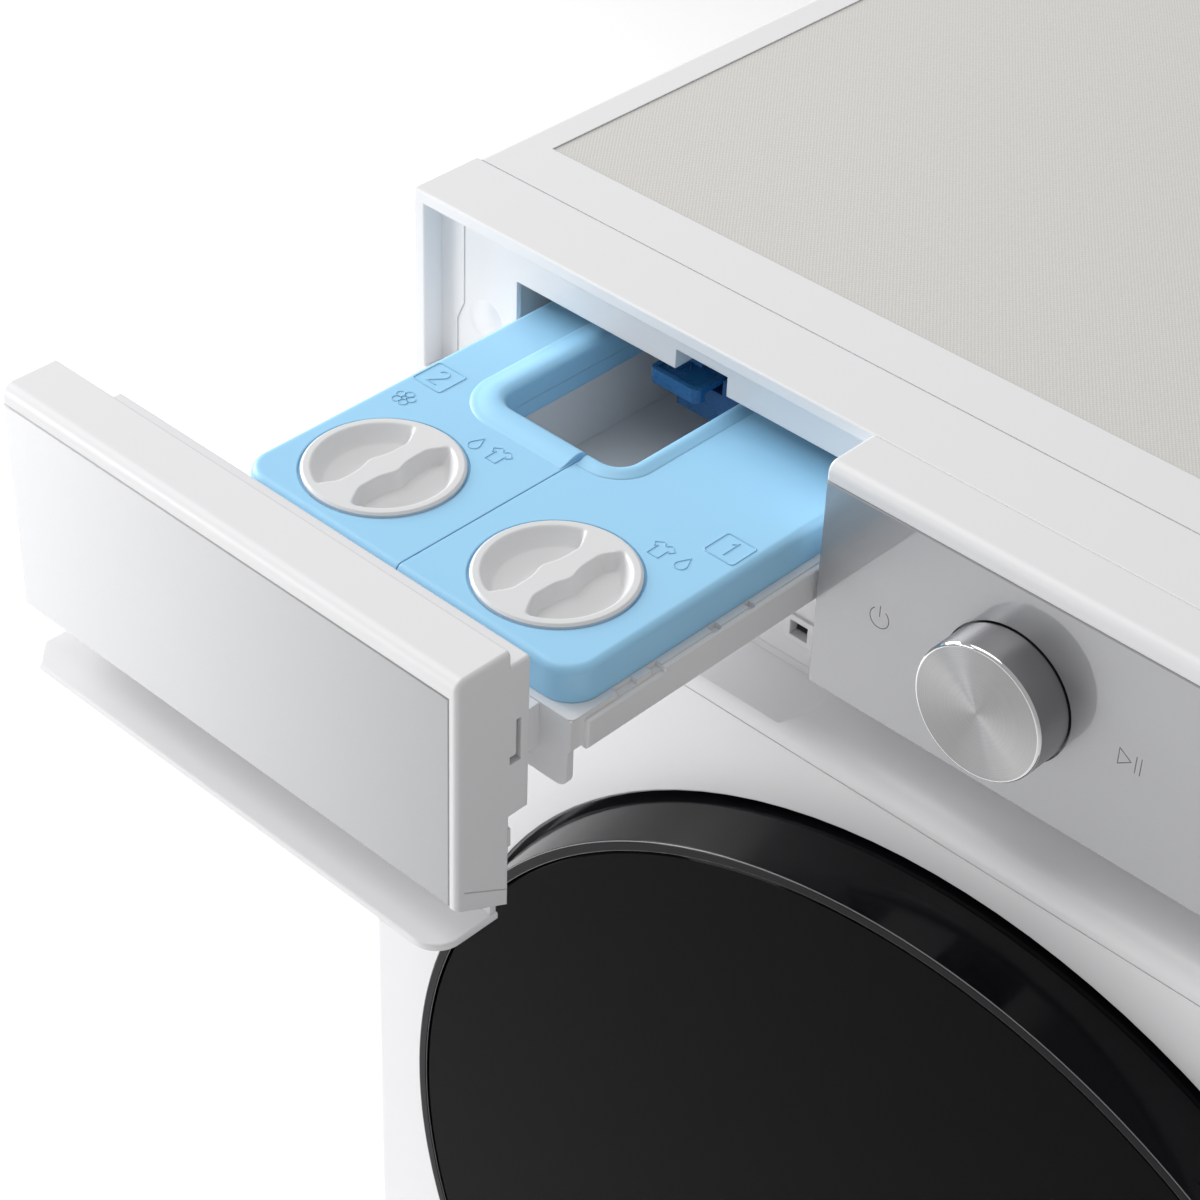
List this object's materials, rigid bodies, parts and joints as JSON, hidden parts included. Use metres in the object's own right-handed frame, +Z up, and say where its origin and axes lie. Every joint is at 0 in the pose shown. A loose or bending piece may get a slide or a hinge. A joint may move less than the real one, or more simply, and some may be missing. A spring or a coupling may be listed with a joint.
{
  "type": "front load washing machine",
  "caption": "Front load washing machine with its dispenser drawer pulled out: round smoked door, flat control slab with a metal knob, twin detergent tanks, drum and drive inside.",
  "frame": {"origin": "on the floor under the middle of the machine's bounding box, with the dispenser drawer pulled out", "axes": "+X to the user's right facing the door, +Y from the front to the back, +Z up"},
  "size_m": [0.6, 0.767, 0.85],
  "materials": {
    "white_enamel": "satin",
    "white_plastic": "gloss",
    "white_plastic_satin": "satin",
    "panel_glass": "gloss",
    "top_laminate": "matt",
    "knob_metal": "brushed",
    "tank_blue": "satin",
    "cap_plastic": "satin",
    "lever_blue": "gloss",
    "door_black": "gloss",
    "smoked_glass": "gloss",
    "clear_glass": "gloss",
    "steel": "satin",
    "zinc_steel": "satin",
    "grey_rubber": "matt",
    "black_rubber": "matt",
    "tub_plastic": "matt",
    "concrete": "matt",
    "cast_aluminium": "cast",
    "board_green": "satin",
    "copper_steel": "satin",
    "dark_plastic": "satin"
  },
  "bodies": {
    "cabinet": {"opening_frame": "white_plastic", "control_panel": "white_plastic", "control_glass": "panel_glass", "control_board": "board_green", "dispenser_housing": "white_plastic_satin", "cabinet_wrap": "white_enamel", "front_panel": "white_enamel", "filter_frame": "white_plastic_satin", "rear_cover": "zinc_steel", "transit_caps": "white_plastic_satin", "base_frame": "tub_plastic", "top_frame": "white_plastic", "top_board": "top_laminate", "hinge_bracket": "zinc_steel", "door_lock": "dark_plastic", "gasket": "grey_rubber", "tub_front": "tub_plastic", "tub_rear": "tub_plastic", "counterweights": "concrete", "bearings": "steel", "stator": "copper_steel", "heater": "steel", "springs": "zinc_steel", "dampers": "zinc_steel", "inlet_valve": "white_plastic_satin", "inlet_hoses": "black_rubber", "fill_bellows": "black_rubber", "drain_pump": "dark_plastic", "sump_hose": "black_rubber", "drain_hose": "tub_plastic", "pressure_sensor": "white_plastic_satin", "power_gland": "dark_plastic", "rear_screws": "zinc_steel"},
    "drawer": {"drawer_front": "white_plastic", "drawer_glass": "panel_glass", "drawer_lip": "white_plastic", "drawer_tray": "white_plastic_satin", "detergent_tank_1": "tank_blue", "detergent_tank_2": "tank_blue", "lever_bracket": "lever_blue"},
    "cap_1": {"tank_cap_1": "cap_plastic"},
    "cap_2": {"tank_cap_2": "cap_plastic"},
    "lever": {"release_lever": "lever_blue"},
    "door": {"door_ring": "door_black", "door_cover": "smoked_glass", "door_inner_frame": "white_plastic_satin", "door_bowl": "clear_glass", "door_hinge": "cast_aluminium", "latch_hook": "steel"},
    "knob": {"knob": "knob_metal"},
    "drum": {"drum": "steel", "drum_spider": "cast_aluminium", "drum_lifters": "white_plastic_satin", "rotor": "zinc_steel"},
    "filter_door": {"filter_door": "white_plastic"},
    "filter_plug": {"pump_filter": "white_plastic_satin"},
    "foot_fl": {"foot_front_left": "black_rubber"},
    "foot_fr": {"foot_front_right": "black_rubber"},
    "foot_rl": {"foot_rear_left": "black_rubber"},
    "foot_rr": {"foot_rear_right": "black_rubber"}
  },
  "joints": [
    {"name": "drawer_slide", "type": "slide", "parent": "cabinet", "child": "drawer", "axis": [0, 1, 0], "range_m": [0, 0.166]},
    {"name": "cap_1_twist", "type": "hinge", "parent": "drawer", "child": "cap_1", "pos_m": [-0.1281, -0.2886, 0.814], "axis": [0, 0, 1], "range_deg": [0, 90]},
    {"name": "cap_2_twist", "type": "hinge", "parent": "drawer", "child": "cap_2", "pos_m": [-0.2107, -0.2886, 0.814], "axis": [0, 0, 1], "range_deg": [0, 90]},
    {"name": "lever_push", "type": "hinge", "parent": "drawer", "child": "lever", "pos_m": [-0.17925, -0.137, 0.812], "axis": [1, 0, 0], "range_deg": [0, 8], "stiffness_Nm_per_rad": 0.4, "springref_deg": -2.86},
    {"name": "door_hinge", "type": "hinge", "parent": "cabinet", "child": "door", "pos_m": [-0.24, -0.2335, 0.465], "axis": [0, 0, -1], "range_deg": [0, 110]},
    {"name": "knob_turn", "type": "hinge", "parent": "cabinet", "child": "knob", "pos_m": [0, -0.2135, 0.8002], "axis": [0, 1, 0], "continuous": true},
    {"name": "drum_spin", "type": "hinge", "parent": "cabinet", "child": "drum", "pos_m": [0, 0.0815, 0.465], "axis": [0, 1, 0], "continuous": true},
    {"name": "filter_door_hinge", "type": "hinge", "parent": "cabinet", "child": "filter_door", "pos_m": [0.22, -0.2169, 0.0417], "axis": [1, 0, 0], "range_deg": [0, 95]},
    {"name": "filter_twist", "type": "hinge", "parent": "cabinet", "child": "filter_plug", "pos_m": [0.22, -0.1685, 0.075], "axis": [0, 1, 0], "range_deg": [0, 180]},
    {"name": "foot_fl_level", "type": "slide", "parent": "cabinet", "child": "foot_fl", "axis": [0, 0, 1], "range_m": [-0.006, 0.004]},
    {"name": "foot_fr_level", "type": "slide", "parent": "cabinet", "child": "foot_fr", "axis": [0, 0, 1], "range_m": [-0.006, 0.004]},
    {"name": "foot_rl_level", "type": "slide", "parent": "cabinet", "child": "foot_rl", "axis": [0, 0, 1], "range_m": [-0.006, 0.004]},
    {"name": "foot_rr_level", "type": "slide", "parent": "cabinet", "child": "foot_rr", "axis": [0, 0, 1], "range_m": [-0.006, 0.004]}
  ]
}
